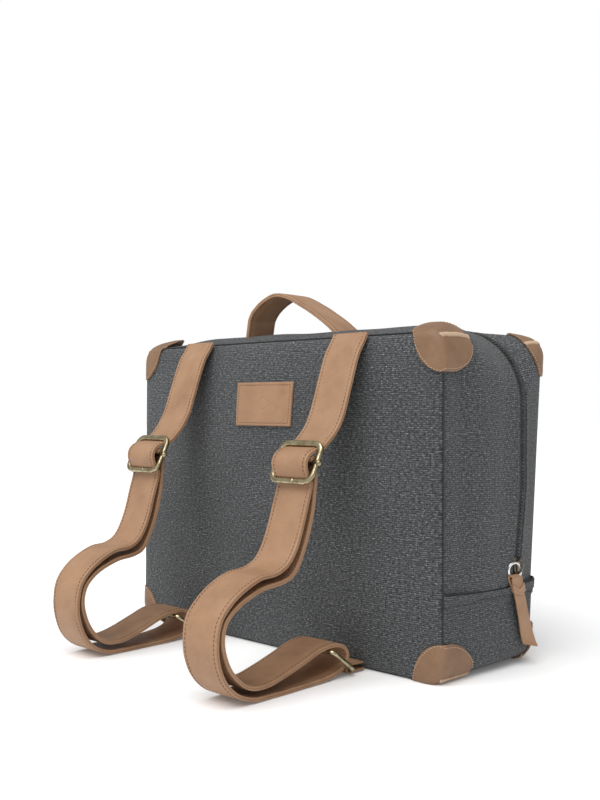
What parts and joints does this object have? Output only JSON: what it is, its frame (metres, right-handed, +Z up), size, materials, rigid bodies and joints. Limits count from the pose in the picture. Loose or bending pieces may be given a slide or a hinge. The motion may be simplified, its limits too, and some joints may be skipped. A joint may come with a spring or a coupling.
{
  "type": "travel backpack",
  "caption": "Boxy canvas travel backpack with leather corners, two buckled shoulder straps, a carry handle and a zip-round hinged front cover.",
  "frame": {"origin": "middle of the flat underside, where the bag stands", "axes": "+Z up, -Y towards the wearer (strap side), +Y the front cover, +X the side where the zip slider parks"},
  "size_m": [0.3436, 0.2804, 0.2787],
  "materials": {
    "canvas": "heathered charcoal plain weave",
    "leather_trim": "smooth tan leather, pale cut edges",
    "strap_hardware": "antique brass",
    "zip_tape": "dark woven tape with dark bronze teeth",
    "zip_metal": "dark bronze",
    "pull_ring": "bright nickel",
    "board": "stiffening board",
    "lining": "plain cotton lining"
  },
  "bodies": {
    "root": {"back_panel": "canvas", "back_stiffener": "board", "body_lining": "lining", "bottom_gusset": "canvas", "corner_back_bottom_left": "leather_trim", "corner_back_bottom_right": "leather_trim", "corner_back_top_left": "leather_trim", "corner_back_top_right": "leather_trim", "corner_front_bottom_left": "leather_trim", "corner_front_bottom_right": "leather_trim", "front_panel_lower": "canvas", "handle_foot_left": "leather_trim", "handle_foot_right": "leather_trim", "label": "leather_trim", "rear_gusset": "canvas", "ring_tab_left": "leather_trim", "ring_tab_right": "leather_trim", "strap_top_left": "leather_trim", "strap_top_right": "leather_trim", "zip_tape_rear": "zip_tape"},
    "cover": {"cover_gusset": "canvas", "front_panel_upper": "canvas", "zip_tape_cover": "zip_tape", "cover_stiffener": "board", "cover_lining": "lining", "corner_front_top_left": "leather_trim", "corner_front_top_right": "leather_trim"},
    "handle": {"carry_handle": "leather_trim"},
    "strap_right": {"strap_right": "leather_trim", "buckle_pin_right": "strap_hardware"},
    "strap_left": {"strap_left": "leather_trim", "buckle_pin_left": "strap_hardware"},
    "buckle_right": {"buckle_frame_right": "strap_hardware"},
    "buckle_left": {"buckle_frame_left": "strap_hardware"},
    "ring_right": {"strap_ring_right": "strap_hardware"},
    "ring_left": {"strap_ring_left": "strap_hardware"},
    "slider": {"zip_slider": "zip_metal", "slider_bridge": "zip_metal"},
    "pull": {"pull_ring": "pull_ring", "pull_tab": "leather_trim"}
  },
  "joints": [
    {"name": "cover_hinge", "type": "hinge", "parent": "root", "child": "cover", "pos_m": [0, 0.05396, 0.062], "axis": [-1, 0, 0], "range_deg": [0, 110]},
    {"name": "handle_tilt", "type": "hinge", "parent": "root", "child": "handle", "pos_m": [0, -0.033, 0.258], "axis": [1, 0, 0], "range_deg": [-45, 45], "deforming": ["handle_foot_left", "handle_foot_right"]},
    {"name": "slider_travel", "type": "slide", "parent": "root", "child": "slider", "axis": [0, 0.1496, 0.9888], "range_m": [0, 0.044]},
    {"name": "pull_swing", "type": "hinge", "parent": "slider", "child": "pull", "pos_m": [0.1709, 0.01933, 0.0715], "axis": [0, -1, 0], "range_deg": [0, 170]},
    {"name": "strap_swing_right", "type": "hinge", "parent": "root", "child": "strap_right", "pos_m": [0.0826, -0.076, 0.224], "axis": [0, 0.0296, 0.9996], "range_deg": [-20, 20], "deforming": ["ring_tab_right"]},
    {"name": "buckle_rock_right", "type": "hinge", "parent": "strap_right", "child": "buckle_right", "pos_m": [0.0826, -0.1225, 0.1495], "axis": [1, 0, 0], "range_deg": [-5, 3]},
    {"name": "ring_rock_right", "type": "hinge", "parent": "strap_right", "child": "ring_right", "pos_m": [0.0826, -0.104, 0.02], "axis": [1, 0, 0], "range_deg": [0, 12]},
    {"name": "strap_swing_left", "type": "hinge", "parent": "root", "child": "strap_left", "pos_m": [-0.0826, -0.076, 0.224], "axis": [0, 0.0296, 0.9996], "range_deg": [-20, 20], "deforming": ["ring_tab_left"]},
    {"name": "buckle_rock_left", "type": "hinge", "parent": "strap_left", "child": "buckle_left", "pos_m": [-0.0826, -0.121, 0.1495], "axis": [1, 0, 0], "range_deg": [-5, 3]},
    {"name": "ring_rock_left", "type": "hinge", "parent": "strap_left", "child": "ring_left", "pos_m": [-0.0826, -0.104, 0.02], "axis": [1, 0, 0], "range_deg": [0, 12]}
  ]
}
